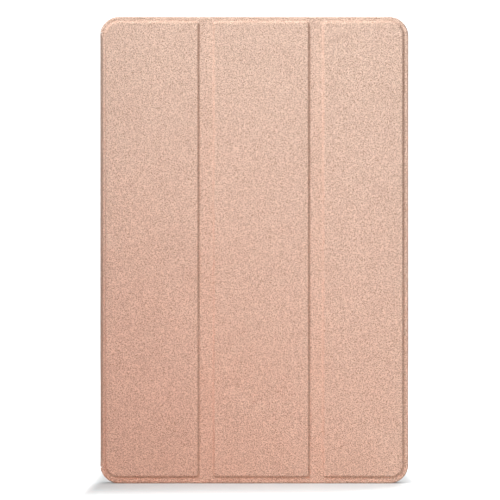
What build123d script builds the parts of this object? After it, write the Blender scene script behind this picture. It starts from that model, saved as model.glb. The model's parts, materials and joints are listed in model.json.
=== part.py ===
"""An 11 inch tablet computer in a leather tri-fold folio, closed and standing on its bottom edge.

Frame: X runs to the right, Z up the long side, Y from the cover's front (-Y) to the folio's back (+Y).
The origin is the middle of the footprint, on the surface that the folio stands on. Lengths in mm.
"""

import os

from build123d import *

os.makedirs("parts", exist_ok=True)

# ------------------------------------------------------------------ driving dimensions
TABLET_W = 165.3
TABLET_H = 253.8
TABLET_T = 7.0
TABLET_CORNER = 9.0

FOLIO_W = 170.6  # from the spine's outer face to the flap's free edge
FOLIO_H = 257.9
FOLIO_T = 12.0
FOLIO_CORNER = 10.6

SKIN_T = 0.8  # leather
BOARD_T = 1.1  # stiff board inside each cover panel
LINING_T = 0.5  # microfibre
CREASE_T = 1.3  # leather and lining where there is no board
CREASE_GAP = 0.3  # between neighbouring bodies at a crease

SHELL_FLOOR = 1.2
SHELL_SIDE_WALL = 1.5
SHELL_END_WALL = 1.7
TABLET_PLAY = 0.2  # between the tablet's sides and the shell
RIM_PROUD = 0.2  # the shell's rim stands this far in front of the glass
COVER_GAP = 0.3  # between the closed flap's lining and the rim

HOUSING_WALL = 1.6
HOUSING_FLOOR = 0.8
GLASS_T = 0.7
GLASS_INSET = 0.8

BUTTON_W = 2.3  # width of the key caps across the tablet's thickness
BUTTON_PROUD = 0.5
BUTTON_PLAY = 0.15

# ------------------------------------------------------------------ depths, front to back
COVER_FRONT_Y = -FOLIO_T / 2
BOARD_FRONT_Y = COVER_FRONT_Y + SKIN_T
LINING_FRONT_Y = BOARD_FRONT_Y + BOARD_T
LINING_BACK_Y = LINING_FRONT_Y + LINING_T
CREASE_FRONT_Y = LINING_BACK_Y - CREASE_T
RIM_Y = LINING_BACK_Y + COVER_GAP
GLASS_FRONT_Y = RIM_Y + RIM_PROUD
GLASS_BACK_Y = GLASS_FRONT_Y + GLASS_T
HOUSING_BACK_Y = GLASS_FRONT_Y + TABLET_T
HOUSING_INNER_Y = HOUSING_BACK_Y - HOUSING_FLOOR
BACK_SKIN_Y = FOLIO_T / 2 - SKIN_T
SHELL_INNER_Y = BACK_SKIN_Y - SHELL_FLOOR
KEY_Y = (GLASS_FRONT_Y + HOUSING_BACK_Y) / 2  # middle of the tablet's thickness

# ------------------------------------------------------------------ widths and heights
LEFT_X = -FOLIO_W / 2
RIGHT_X = FOLIO_W / 2
SPINE_GAP = 0.25
SPINE_X = LEFT_X + CREASE_T / 2  # middle of the spine's thickness, and both its hinge lines
SHELL_LEFT_X = LEFT_X + CREASE_T + SPINE_GAP
SHELL_W = TABLET_W + 2 * (TABLET_PLAY + SHELL_SIDE_WALL)
SHELL_H = TABLET_H + 2 * (TABLET_PLAY + SHELL_END_WALL)
MID_X = SHELL_LEFT_X + SHELL_W / 2  # the tablet's and the shell's middle
MID_Z = SHELL_H / 2
TABLET_RIGHT_X = MID_X + TABLET_W / 2
TABLET_TOP_Z = MID_Z + TABLET_H / 2
TABLET_BOTTOM_Z = MID_Z - TABLET_H / 2
FLAP_Z = FOLIO_H / 2  # the flap's middle height
FLAP_LEFT_X = SPINE_X + CREASE_T / 2 + CREASE_GAP
CREASE_1_X = -26.55
CREASE_2_X = 34.25

# the raised field of each panel: its foot's left and right edges, and its corners' radii
PANEL_RIM = 2.1  # flat edge between the raised field and the flap's outline, at the top and on the right
FIELD_Z = (2.8, FOLIO_H - PANEL_RIM)
FIELD_OUTER_CORNER = 8.0
FIELD_CREASE_CORNER = 2.5
FIELD_EDGE_R = 0.9
BOARD_INSET = 1.1
LINING_INSET = 1.2
PANELS = {
    "panel_1": {"cut": (LEFT_X, CREASE_1_X - CREASE_GAP / 2), "field": (-83.0, -30.0),
                "corners": (FIELD_OUTER_CORNER, FIELD_CREASE_CORNER)},
    "panel_2": {"cut": (CREASE_1_X + CREASE_GAP / 2, CREASE_2_X - CREASE_GAP / 2), "field": (-23.1, 31.1),
                "corners": (FIELD_CREASE_CORNER, FIELD_CREASE_CORNER)},
    "panel_3": {"cut": (CREASE_2_X + CREASE_GAP / 2, RIGHT_X), "field": (37.4, RIGHT_X - PANEL_RIM),
                "corners": (FIELD_CREASE_CORNER, FIELD_OUTER_CORNER)},
}

# spine strip
SPINE_Z = (9.0, 249.0)
SPINE_FRONT_Y = CREASE_FRONT_Y + CREASE_T / 2  # hinge line between the spine and the flap
SPINE_BACK_Y = FOLIO_T / 2 - CREASE_T / 2  # hinge line between the spine and the back
SPINE_BOARD_T = 0.3
SPINE_BOARD_INSET = 1.0  # from the strip's ends to its stiffener
SPINE_END_GAP = 0.3  # between the strip's ends and the flap's corners
SPINE_BOARD_Y = (SPINE_FRONT_Y + 4.0, SPINE_BACK_Y - 0.75)  # ahead of it the strip is only leather

# keys, tray, port and cameras on the tablet
POWER_X = (58.0, 72.0)
POWER_TRAVEL = 0.35
VOLUME_Z = (190.0, 214.0)
TRAY_Y = 1.5
TRAY_Z = 67.0
TRAY_W = 14.0
TRAY_DEPTH = 20.0
TRAY_HEAD_W = 14.6
TRAY_HEAD_T = 2.2
PORT_W = 8.94
PORT_T = 3.2
PORT_DEPTH = 7.3
PORT_WALL = 0.3
PORT_FLOOR = 0.8  # thickness of the socket's floor, and how far its tongue is set in
PORT_TONGUE = (6.7, 0.7)
SPEAKER_X = {"bottom": 51.0, "top": 39.0}  # distance of the speakers' middles from the tablet's middle
SPEAKER_SIZE = (34.0, 12.6)
MIC_X = {"bottom": 22.0, "top": -12.0}
CAMERA_X = 69.2
CAMERA_Z = 241.5
FLASH_Z = 229.5
CAMERA_R = 4.2
FLASH_R = 1.8
BOSS_X = 73.5  # distance of the screw bosses from the tablet's middle
BOSS_Z = (30.0, 95.0, 160.0, 225.0)
BOSS_PLACES = [(MID_X + side * BOSS_X, z) for side in (-1, 1) for z in BOSS_Z]
BOSS_R = 1.6
BOSS_FRONT_Y = 0.2
SCREW_R = 0.7
SCREW_HEAD_R = 1.4
SCREW_HEAD_T = 0.3
SCREW_END_Y = 2.2


# ------------------------------------------------------------------ helpers
def facing(y):
    """Plane at depth y: local x is X, local y is Z, and it looks towards the front (-Y)."""
    return Plane.XZ.offset(-y)


def block(x, y, z, corner=0.0):
    """Plate between two values on each axis, its corners rounded as seen from the front."""
    width = x[1] - x[0]
    height = z[1] - z[0]
    with BuildPart() as plate:
        with BuildSketch(facing(y[1])):
            with Locations((sum(x) / 2, sum(z) / 2)):
                if corner > 0:
                    RectangleRounded(width, height, corner)
                else:
                    Rectangle(width, height)
        extrude(amount=y[1] - y[0])
    return plate.part


def around(middle, size):
    """The two ends of a length that is centred on a value."""
    return (middle - size / 2, middle + size / 2)


def grow(span, by):
    """A span made longer at both ends."""
    return (span[0] - by, span[1] + by)


def write(piece, label):
    """Name a finished piece and write its STEP file."""
    piece.label = label
    export_step(piece, f"parts/{label}.step")


# ------------------------------------------------------------------ the flap's three panels
def flap_outline(cut, inset=0.0):
    """The flap's rounded outline, drawn in by inset, between two x values."""
    with BuildSketch() as outline:
        with Locations((0, FLAP_Z)):
            RectangleRounded(FOLIO_W - 2 * inset, FOLIO_H - 2 * inset, FOLIO_CORNER - inset)
        with Locations((sum(cut) / 2, FLAP_Z)):
            Rectangle(cut[1] - cut[0], FOLIO_H, mode=Mode.INTERSECT)
    return outline.sketch


def field_outline(field, corners, inset=0.0):
    """A raised field's outline, with its own corner radius on the left and on the right."""
    with BuildSketch() as outline:
        with Locations((sum(field) / 2, sum(FIELD_Z) / 2)):
            Rectangle(field[1] - field[0] - 2 * inset, FIELD_Z[1] - FIELD_Z[0] - 2 * inset)
        fillet(outline.vertices().group_by(Axis.X)[0], radius=corners[0] - inset)
        fillet(outline.vertices().group_by(Axis.X)[-1], radius=corners[1] - inset)
    return outline.sketch


def magnet_row(x, heights, size):
    """Flat bar magnets, one above another, in the thickness of a board."""
    with BuildPart() as magnets:
        with BuildSketch(facing(LINING_FRONT_Y)):
            with Locations([(x, z) for z in heights]):
                Rectangle(*size)
        extrude(amount=BOARD_T)
    return magnets.part


closing_magnets = magnet_row(79.0, (28.0, 78.0, 180.0, 230.0), (3.0, 22.0))
sleep_magnet = magnet_row(78.0, (129.0,), (5.0, 12.0))
stand_magnets = magnet_row(-76.0, (54.0, 204.0), (4.0, 30.0))
write(closing_magnets, "closing_magnets")
write(sleep_magnet, "sleep_magnet")
write(stand_magnets, "stand_magnets")
PANEL_MAGNETS = {"panel_1": [stand_magnets], "panel_2": [], "panel_3": [closing_magnets, sleep_magnet]}

# room for the spine strip, along the left edge of panel 1
spine_room = block((LEFT_X - 1, FLAP_LEFT_X), (COVER_FRONT_Y, LINING_BACK_Y), grow(SPINE_Z, SPINE_END_GAP))

for panel, shape in PANELS.items():
    # stiff board, with pockets for its magnets
    with BuildPart() as board:
        with BuildSketch(facing(LINING_FRONT_Y)):
            add(field_outline(shape["field"], shape["corners"], inset=BOARD_INSET))
        extrude(amount=BOARD_T)
        for magnets in PANEL_MAGNETS[panel]:
            add(magnets, mode=Mode.SUBTRACT)
    write(board.part, f"{panel}_board")

    # microfibre lining, let into the turned-over leather
    with BuildPart() as lining:
        with BuildSketch(facing(LINING_BACK_Y)):
            add(flap_outline(shape["cut"], inset=LINING_INSET))
        extrude(amount=LINING_T)
        add(spine_room, mode=Mode.SUBTRACT)
    write(lining.part, f"{panel}_lining")

    # leather: a thin sheet, raised over the board, with a soft edge round the raised field
    with BuildPart() as skin:
        with BuildSketch(facing(LINING_BACK_Y)):
            add(flap_outline(shape["cut"]))
        extrude(amount=CREASE_T)
        with BuildSketch(facing(CREASE_FRONT_Y)):
            add(field_outline(shape["field"], shape["corners"]))
        extrude(amount=CREASE_FRONT_Y - COVER_FRONT_Y)
        fillet(skin.faces().sort_by(Axis.Y)[0].edges(), radius=FIELD_EDGE_R)
        with BuildSketch(facing(LINING_FRONT_Y)):
            add(field_outline(shape["field"], shape["corners"], inset=BOARD_INSET))
        extrude(amount=BOARD_T, mode=Mode.SUBTRACT)
        add(lining.part, mode=Mode.SUBTRACT)
        add(spine_room, mode=Mode.SUBTRACT)
    write(skin.part, f"{panel}_skin")

# ------------------------------------------------------------------ the spine strip
with BuildPart() as spine_board:
    with BuildSketch(Plane.XY.offset(SPINE_Z[0] + SPINE_BOARD_INSET)):
        with Locations((SPINE_X, sum(SPINE_BOARD_Y) / 2)):
            Rectangle(SPINE_BOARD_T, SPINE_BOARD_Y[1] - SPINE_BOARD_Y[0])
    extrude(amount=SPINE_Z[1] - SPINE_Z[0] - 2 * SPINE_BOARD_INSET)
write(spine_board.part, "spine_board")

with BuildPart() as spine_lining:
    with BuildSketch(Plane.XY.offset(SPINE_Z[0])):
        with Locations((SPINE_X + (SPINE_BOARD_T + CREASE_T) / 4, sum(SPINE_BOARD_Y) / 2)):
            Rectangle((CREASE_T - SPINE_BOARD_T) / 2, SPINE_BOARD_Y[1] - SPINE_BOARD_Y[0])
    extrude(amount=SPINE_Z[1] - SPINE_Z[0])
write(spine_lining.part, "spine_lining")

with BuildPart() as spine_skin:
    with BuildSketch(Plane.XY.offset(SPINE_Z[0])):
        with Locations((SPINE_X, (SPINE_FRONT_Y + SPINE_BACK_Y) / 2)):
            SlotCenterToCenter(SPINE_BACK_Y - SPINE_FRONT_Y, CREASE_T, rotation=90)
    extrude(amount=SPINE_Z[1] - SPINE_Z[0])
    add(spine_board.part, mode=Mode.SUBTRACT)
    add(spine_lining.part, mode=Mode.SUBTRACT)
write(spine_skin.part, "spine_skin")

# ------------------------------------------------------------------ the folio's shell and back
SHELL_RIGHT_X = SHELL_LEFT_X + SHELL_W
CUTOUT_DEPTH = 6.0  # length of the cutting blocks through the top and bottom walls
KEY_WINDOW_W = 5.0
KEY_WINDOW_OVER = 3.0
TRAY_WINDOW_W = 4.0
PORT_WINDOW = (12.94, 6.2)
SOUND_SLOT = (17.0, 2.6)
MIC_SLOT = 2.0
CAMERA_WINDOW_X = around(CAMERA_X, 17.0)
CAMERA_WINDOW_Z = (FLASH_Z - 5.5, CAMERA_Z + 8.5)
CAMERA_WINDOW_R = 8.4
WINDOW_MARGIN = 0.4  # the leather's camera window is this much larger than the shell's
SHELL_EDGE_R = 0.5


def wall_slots():
    """Cutting blocks for the windows in the shell's walls: keys, tray, port and speakers."""
    top = around(SHELL_H - SHELL_END_WALL / 2, CUTOUT_DEPTH)
    bottom = around(SHELL_END_WALL / 2, CUTOUT_DEPTH)
    right = around(SHELL_RIGHT_X - SHELL_SIDE_WALL / 2, CUTOUT_DEPTH / 2)
    key_window = around(KEY_Y, KEY_WINDOW_W)
    slots = [
        block(grow(POWER_X, KEY_WINDOW_OVER), key_window, top),
        block(right, key_window, grow(VOLUME_Z, KEY_WINDOW_OVER)),
        block(right, around(TRAY_Y, TRAY_WINDOW_W), around(TRAY_Z, TRAY_HEAD_W + TRAY_WINDOW_W)),
        block(around(MID_X, PORT_WINDOW[0]), around(KEY_Y, PORT_WINDOW[1]), bottom),
        block(around(MID_X + MIC_X["top"], MIC_SLOT), around(KEY_Y, MIC_SLOT), top),
        block(around(MID_X + MIC_X["bottom"], MIC_SLOT), around(KEY_Y, MIC_SLOT), bottom),
    ]
    sound = around(KEY_Y, SOUND_SLOT[1])
    for side in (-1, 1):
        slots.append(block(around(MID_X + side * SPEAKER_X["top"], SOUND_SLOT[0]), sound, top))
        slots.append(block(around(MID_X + side * SPEAKER_X["bottom"], SOUND_SLOT[0]), sound, bottom))
    return slots


with BuildPart() as back_shell:
    with BuildSketch(facing(BACK_SKIN_Y)):
        with Locations((MID_X, MID_Z)):
            RectangleRounded(SHELL_W, SHELL_H, FOLIO_CORNER)
    extrude(amount=BACK_SKIN_Y - RIM_Y)
    fillet(back_shell.faces().sort_by(Axis.Y)[0].edges(), radius=SHELL_EDGE_R)
    with BuildSketch(facing(SHELL_INNER_Y)):
        with Locations((MID_X, MID_Z)):
            RectangleRounded(TABLET_W + 2 * TABLET_PLAY, TABLET_H + 2 * TABLET_PLAY,
                             TABLET_CORNER + TABLET_PLAY)
    extrude(amount=SHELL_INNER_Y - RIM_Y, mode=Mode.SUBTRACT)
    add(block(CAMERA_WINDOW_X, (SHELL_INNER_Y - 1, BACK_SKIN_Y + 1), CAMERA_WINDOW_Z, CAMERA_WINDOW_R),
        mode=Mode.SUBTRACT)
    for slot in wall_slots():
        add(slot, mode=Mode.SUBTRACT)
write(back_shell.part, "back_shell")

with BuildPart() as back_skin:
    with BuildSketch(facing(FOLIO_T / 2)):
        with Locations((MID_X, MID_Z)):
            RectangleRounded(SHELL_W, SHELL_H, FOLIO_CORNER)
    extrude(amount=SKIN_T)
    fillet(back_skin.faces().sort_by(Axis.Y)[-1].edges(), radius=SHELL_EDGE_R)
    add(block(grow(CAMERA_WINDOW_X, WINDOW_MARGIN), (BACK_SKIN_Y - 1, FOLIO_T),
              grow(CAMERA_WINDOW_Z, WINDOW_MARGIN), CAMERA_WINDOW_R), mode=Mode.SUBTRACT)
write(back_skin.part, "back_skin")

# ------------------------------------------------------------------ the tablet's housing
CAVITY_X = around(MID_X, TABLET_W - 2 * HOUSING_WALL)
CAVITY_Z = around(MID_Z, TABLET_H - 2 * HOUSING_WALL)
CAVITY_CORNER = TABLET_CORNER - HOUSING_WALL
LEDGE_Y = GLASS_BACK_Y + 0.2
WALL_CUT = 2 * HOUSING_WALL + 1.0
TOP_WALL = around(TABLET_TOP_Z - HOUSING_WALL / 2, WALL_CUT)
BOTTOM_WALL = around(TABLET_BOTTOM_Z + HOUSING_WALL / 2, WALL_CUT)
RIGHT_WALL = around(TABLET_RIGHT_X - HOUSING_WALL / 2, WALL_CUT)
HOUSING_EDGE_R = 1.0
HOUSING_CHAMFER = 0.25
HOLE_R = 0.6
HOLE_PITCH = 2.0
HOLES_PER_SPEAKER = 7


def end_hole_places(end):
    """Middles of the speaker and microphone holes on the top or the bottom end, on a plane facing Z."""
    places = [(MID_X + MIC_X[end], KEY_Y)]
    for side in (-1, 1):
        for number in range(HOLES_PER_SPEAKER):
            offset = (number - (HOLES_PER_SPEAKER - 1) / 2) * HOLE_PITCH
            places.append((MID_X + side * SPEAKER_X[end] + offset, KEY_Y))
    return places


with BuildPart() as back_housing:
    with BuildSketch(facing(HOUSING_BACK_Y)):
        with Locations((MID_X, MID_Z)):
            RectangleRounded(TABLET_W, TABLET_H, TABLET_CORNER)
    extrude(amount=TABLET_T)
    fillet(back_housing.faces().sort_by(Axis.Y)[-1].edges(), radius=HOUSING_EDGE_R)
    chamfer(back_housing.faces().sort_by(Axis.Y)[0].edges(), length=HOUSING_CHAMFER)
    add(block(CAVITY_X, (GLASS_FRONT_Y, HOUSING_INNER_Y), CAVITY_Z, CAVITY_CORNER), mode=Mode.SUBTRACT)
    add(block(around(MID_X, TABLET_W - 2 * GLASS_INSET), (GLASS_FRONT_Y, LEDGE_Y),
              around(MID_Z, TABLET_H - 2 * GLASS_INSET), TABLET_CORNER - GLASS_INSET), mode=Mode.SUBTRACT)
    # windows for the keys, the tray and the port
    add(block(grow(POWER_X, BUTTON_PLAY), around(KEY_Y, BUTTON_W + 2 * BUTTON_PLAY), TOP_WALL),
        mode=Mode.SUBTRACT)
    add(block(RIGHT_WALL, around(KEY_Y, BUTTON_W + 2 * BUTTON_PLAY), grow(VOLUME_Z, 2 * BUTTON_PLAY)),
        mode=Mode.SUBTRACT)
    add(block(RIGHT_WALL, around(TRAY_Y, TRAY_HEAD_T + 2 * BUTTON_PLAY),
              around(TRAY_Z, TRAY_HEAD_W + 2 * BUTTON_PLAY)), mode=Mode.SUBTRACT)
    with BuildSketch(Plane.XY.offset(TABLET_BOTTOM_Z)):
        with Locations((MID_X, KEY_Y)):
            SlotOverall(PORT_W, PORT_T)
    extrude(amount=WALL_CUT, mode=Mode.SUBTRACT)
    # round holes: speakers and microphones on both ends, camera and lamp on the back
    with BuildSketch(Plane.XY.offset(TABLET_BOTTOM_Z)):
        with Locations(end_hole_places("bottom")):
            Circle(HOLE_R)
    extrude(amount=HOUSING_WALL, mode=Mode.SUBTRACT)
    with BuildSketch(Plane.XY.offset(TABLET_TOP_Z - HOUSING_WALL)):
        with Locations(end_hole_places("top")):
            Circle(HOLE_R)
    extrude(amount=HOUSING_WALL, mode=Mode.SUBTRACT)
    with BuildSketch(facing(HOUSING_BACK_Y)):
        with Locations((CAMERA_X, CAMERA_Z)):
            Circle(CAMERA_R)
        with Locations((CAMERA_X, FLASH_Z)):
            Circle(FLASH_R)
    extrude(amount=HOUSING_FLOOR, mode=Mode.SUBTRACT)
    # screw bosses on the floor
    with BuildSketch(facing(HOUSING_INNER_Y)):
        with Locations(BOSS_PLACES):
            Circle(BOSS_R)
            Circle(SCREW_R, mode=Mode.SUBTRACT)
    extrude(amount=HOUSING_INNER_Y - BOSS_FRONT_Y)
write(back_housing.part, "back_housing")

# ------------------------------------------------------------------ glass, display and middle plate
GLASS_W = TABLET_W - 2 * GLASS_INSET - 0.2
GLASS_H = TABLET_H - 2 * GLASS_INSET - 0.2
DISPLAY_W = 152.0
DISPLAY_H = 239.0
DISPLAY_Y = (GLASS_BACK_Y, -1.3)
BACKLIGHT_Y = (DISPLAY_Y[1], -0.4)
PLATE_Y = (-0.3, 0.2)
PLATE_W = 154.0
PLATE_H = 230.0

cover_glass = block(around(MID_X, GLASS_W), (GLASS_FRONT_Y, GLASS_BACK_Y), around(MID_Z, GLASS_H),
                    TABLET_CORNER - GLASS_INSET - 0.1)
write(cover_glass, "cover_glass")

with BuildPart() as display_adhesive:
    add(block(around(MID_X, GLASS_W), (GLASS_BACK_Y, LEDGE_Y), around(MID_Z, GLASS_H),
              TABLET_CORNER - GLASS_INSET - 0.1))
    add(block(CAVITY_X, (GLASS_BACK_Y, LEDGE_Y), CAVITY_Z, CAVITY_CORNER), mode=Mode.SUBTRACT)
write(display_adhesive.part, "display_adhesive")

display_panel = block(around(MID_X, DISPLAY_W), DISPLAY_Y, around(MID_Z, DISPLAY_H), 3.0)
write(display_panel, "display_panel")

backlight_unit = block(around(MID_X, DISPLAY_W - 1.0), BACKLIGHT_Y, around(MID_Z, DISPLAY_H - 1.0), 2.5)
write(backlight_unit, "backlight_unit")

with BuildPart() as mid_plate:
    add(block(around(MID_X, PLATE_W), PLATE_Y, around(MID_Z, PLATE_H), 4.0))
    with BuildSketch(facing(PLATE_Y[1])):
        with Locations(BOSS_PLACES):
            Circle(SCREW_R)
    extrude(amount=PLATE_Y[1] - PLATE_Y[0], mode=Mode.SUBTRACT)
    with BuildSketch(facing(PLATE_Y[0] + SCREW_HEAD_T)):
        with Locations(BOSS_PLACES):
            Circle(SCREW_HEAD_R)
    extrude(amount=SCREW_HEAD_T, mode=Mode.SUBTRACT)
write(mid_plate.part, "mid_plate")

with BuildPart() as plate_screws:
    with BuildSketch(facing(SCREW_END_Y)):
        with Locations(BOSS_PLACES):
            Circle(SCREW_R)
    extrude(amount=SCREW_END_Y - PLATE_Y[0])
    with BuildSketch(facing(PLATE_Y[0] + SCREW_HEAD_T)):
        with Locations(BOSS_PLACES):
            Circle(SCREW_HEAD_R)
    extrude(amount=SCREW_HEAD_T)
write(plate_screws.part, "plate_screws")

# ------------------------------------------------------------------ batteries and circuit boards
CELL_Y = (0.4, 3.0)
CELL_Z = (30.0, 196.0)
PCB_Y = (1.3, 2.1)
MAIN_BOARD_X = (MID_X - 66.0, MID_X + 50.0)
MAIN_BOARD_Z = (202.0, 238.0)
PORT_BOARD_Z = (9.4, 24.0)

battery_cell_left = block((MID_X - 69.0, MID_X - 1.0), CELL_Y, CELL_Z, 2.0)
write(battery_cell_left, "battery_cell_left")
battery_cell_right = block((MID_X + 1.0, MID_X + 59.0), CELL_Y, CELL_Z, 2.0)
write(battery_cell_right, "battery_cell_right")
battery_board = block(around(MID_X, 60.0), (1.0, 2.2), (CELL_Z[1], MAIN_BOARD_Z[0] - 0.5))
write(battery_board, "battery_board")
graphite_sheet = block(around(MID_X, 120.0), (CELL_Y[1], HOUSING_INNER_Y), (40.0, 236.0), 4.0)
write(graphite_sheet, "graphite_sheet")

main_board = block(MAIN_BOARD_X, PCB_Y, MAIN_BOARD_Z, 1.5)
write(main_board, "main_board")

# each can: its middle's distance from the tablet's middle, its width and its height
SHIELD_CANS = ((-44.0, 34.0, 26.0), (-8.0, 28.0, 28.0), (25.0, 26.0, 20.0))
SHIELD_FRONT_Y = 0.4
with BuildPart() as shield_cans:
    with BuildSketch(facing(PCB_Y[0])):
        for middle, width, height in SHIELD_CANS:
            with Locations((MID_X + middle, sum(MAIN_BOARD_Z) / 2)):
                RectangleRounded(width, height, 1.0)
    extrude(amount=PCB_Y[0] - SHIELD_FRONT_Y)
write(shield_cans.part, "shield_cans")

port_board = block(around(MID_X, 60.0), PCB_Y, PORT_BOARD_Z, 1.0)
write(port_board, "port_board")

# thin ribbons: between the two boards, and from the display round the plate's lower edge
RIBBON_T = 0.14
RIBBON_X = around(MID_X, 12.0)
RIBBON_FRONT_Y = PLATE_Y[1] + 0.02
RIBBON_Z = (14.0, 210.0)
RIBBON_FOOT = 6.0
with BuildPart() as main_ribbon:
    add(block(RIBBON_X, (RIBBON_FRONT_Y, RIBBON_FRONT_Y + RIBBON_T), RIBBON_Z))
    add(block(RIBBON_X, (RIBBON_FRONT_Y, PCB_Y[0]), (RIBBON_Z[0], RIBBON_Z[0] + RIBBON_T)))
    add(block(RIBBON_X, (PCB_Y[0] - RIBBON_T, PCB_Y[0]), (RIBBON_Z[0], RIBBON_Z[0] + RIBBON_FOOT)))
write(main_ribbon.part, "main_ribbon")

DISPLAY_FLEX_T = 0.1
DISPLAY_FLEX_X = (MID_X + 10.0, MID_X + 26.0)
DISPLAY_FLEX_Z = (11.0, 30.0)
DISPLAY_FLEX_FOOT = 7.0
with BuildPart() as display_flex:
    add(block(DISPLAY_FLEX_X, (BACKLIGHT_Y[1], PLATE_Y[0]), DISPLAY_FLEX_Z))
    add(block(DISPLAY_FLEX_X, (BACKLIGHT_Y[1], PCB_Y[0]),
              (DISPLAY_FLEX_Z[0], DISPLAY_FLEX_Z[0] + DISPLAY_FLEX_T)))
    add(block(DISPLAY_FLEX_X, (PCB_Y[0] - DISPLAY_FLEX_T, PCB_Y[0]),
              (DISPLAY_FLEX_Z[0], DISPLAY_FLEX_Z[0] + DISPLAY_FLEX_FOOT)))
write(display_flex.part, "display_flex")

# ------------------------------------------------------------------ port, speakers and microphones
with BuildPart() as usb_c_port:
    with BuildSketch(Plane.XY.offset(TABLET_BOTTOM_Z)):
        with Locations((MID_X, KEY_Y)):
            SlotOverall(PORT_W, PORT_T)
    extrude(amount=PORT_DEPTH)
    with BuildSketch(Plane.XY.offset(TABLET_BOTTOM_Z)):
        with Locations((MID_X, KEY_Y)):
            SlotOverall(PORT_W - 2 * PORT_WALL, PORT_T - 2 * PORT_WALL)
    extrude(amount=PORT_DEPTH - PORT_FLOOR, mode=Mode.SUBTRACT)
    with BuildSketch(Plane.XY.offset(TABLET_BOTTOM_Z + PORT_FLOOR)):
        with Locations((MID_X, KEY_Y)):
            Rectangle(*PORT_TONGUE)
    extrude(amount=PORT_DEPTH - PORT_FLOOR)
write(usb_c_port.part, "usb_c_port")

SPEAKER_Y = (0.5, 2.9)
SPEAKER_INSET = 0.5 + SPEAKER_SIZE[1] / 2
SPEAKER_Z = {"bottom": CAVITY_Z[0] + SPEAKER_INSET, "top": CAVITY_Z[1] - SPEAKER_INSET}
SPEAKER_MIDDLES = [(MID_X + side * SPEAKER_X[end], SPEAKER_Z[end]) for end in SPEAKER_Z for side in (-1, 1)]
with BuildPart() as speaker_boxes:
    with BuildSketch(facing(SPEAKER_Y[1])):
        with Locations(SPEAKER_MIDDLES):
            RectangleRounded(*SPEAKER_SIZE, 1.5)
    extrude(amount=SPEAKER_Y[1] - SPEAKER_Y[0])
write(speaker_boxes.part, "speaker_boxes")

MESH_T = 0.2
MESH_SIZE = (15.0, 2.2)
MESH_Z = {"bottom": (CAVITY_Z[0], CAVITY_Z[0] + MESH_T), "top": (CAVITY_Z[1] - MESH_T, CAVITY_Z[1])}
with BuildPart() as speaker_meshes:
    for end, span in MESH_Z.items():
        for side in (-1, 1):
            middle = MID_X + side * SPEAKER_X[end]
            add(block(around(middle, MESH_SIZE[0]), around(KEY_Y, MESH_SIZE[1]), span))
write(speaker_meshes.part, "speaker_meshes")

MIC_SIZE = (3.0, 2.0, 1.0)
MIC_Z = {"bottom": (CAVITY_Z[0], CAVITY_Z[0] + MIC_SIZE[2]), "top": (CAVITY_Z[1] - MIC_SIZE[2], CAVITY_Z[1])}
with BuildPart() as microphones:
    for end, span in MIC_Z.items():
        add(block(around(MID_X + MIC_X[end], MIC_SIZE[0]), around(KEY_Y, MIC_SIZE[1]), span))
write(microphones.part, "microphones")

# ------------------------------------------------------------------ cameras and lamp
FRONT_CAMERA_SIZE = (4.6, 4.4)
FRONT_CAMERA_Y = (-1.6, 0.2)
FRONT_CAMERA_Z = 251.2
FRONT_LENS_R = 1.6
with BuildPart() as front_camera:
    add(block(around(MID_X, FRONT_CAMERA_SIZE[0]), FRONT_CAMERA_Y,
              around(FRONT_CAMERA_Z, FRONT_CAMERA_SIZE[1]), 0.5))
    with BuildSketch(facing(FRONT_CAMERA_Y[0])):
        with Locations((MID_X, FRONT_CAMERA_Z)):
            Circle(FRONT_LENS_R)
    extrude(amount=FRONT_CAMERA_Y[0] - GLASS_BACK_Y)
write(front_camera.part, "front_camera")

REAR_CAMERA_W = 8.5
BARREL_BACK_Y = 4.3
RING_BACK_Y = 4.9
RING_R = 5.8
LENS_Y = (4.35, 4.8)
with BuildPart() as rear_camera:
    add(block(around(CAMERA_X, REAR_CAMERA_W), (0.3, HOUSING_INNER_Y), around(CAMERA_Z, REAR_CAMERA_W), 0.8))
    with BuildSketch(facing(BARREL_BACK_Y)):
        with Locations((CAMERA_X, CAMERA_Z)):
            Circle(CAMERA_R - 0.2)
    extrude(amount=BARREL_BACK_Y - HOUSING_INNER_Y)
write(rear_camera.part, "rear_camera")

with BuildPart() as camera_ring:
    with BuildSketch(facing(RING_BACK_Y)):
        with Locations((CAMERA_X, CAMERA_Z)):
            Circle(RING_R)
            Circle(CAMERA_R, mode=Mode.SUBTRACT)
    extrude(amount=RING_BACK_Y - HOUSING_BACK_Y)
    fillet(camera_ring.edges().filter_by(GeomType.CIRCLE).group_by(Axis.Y)[-1].sort_by(SortBy.RADIUS)[-1],
           radius=0.4)
write(camera_ring.part, "camera_ring")

with BuildPart() as camera_lens:
    with BuildSketch(facing(LENS_Y[1])):
        with Locations((CAMERA_X, CAMERA_Z)):
            Circle(CAMERA_R)
    extrude(amount=LENS_Y[1] - LENS_Y[0])
write(camera_lens.part, "camera_lens")

LAMP_DEPTH = 0.6  # how far the lamp reaches inside the housing
with BuildPart() as flash_lamp:
    with BuildSketch(facing(HOUSING_BACK_Y)):
        with Locations((CAMERA_X, FLASH_Z)):
            Circle(FLASH_R)
    extrude(amount=HOUSING_FLOOR + LAMP_DEPTH)
write(flash_lamp.part, "flash_lamp")

# ------------------------------------------------------------------ keys and their switches
FLANGE_OVER = 1.0  # a key's inner flange is this much longer than its cap at each end
FLANGE_T = 0.6
CAP_FLANGE_GAP = 0.2
POWER_FLANGE_Z = (CAVITY_Z[1] - CAP_FLANGE_GAP - FLANGE_T, CAVITY_Z[1] - CAP_FLANGE_GAP)
SWITCH_W = 2.2

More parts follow.
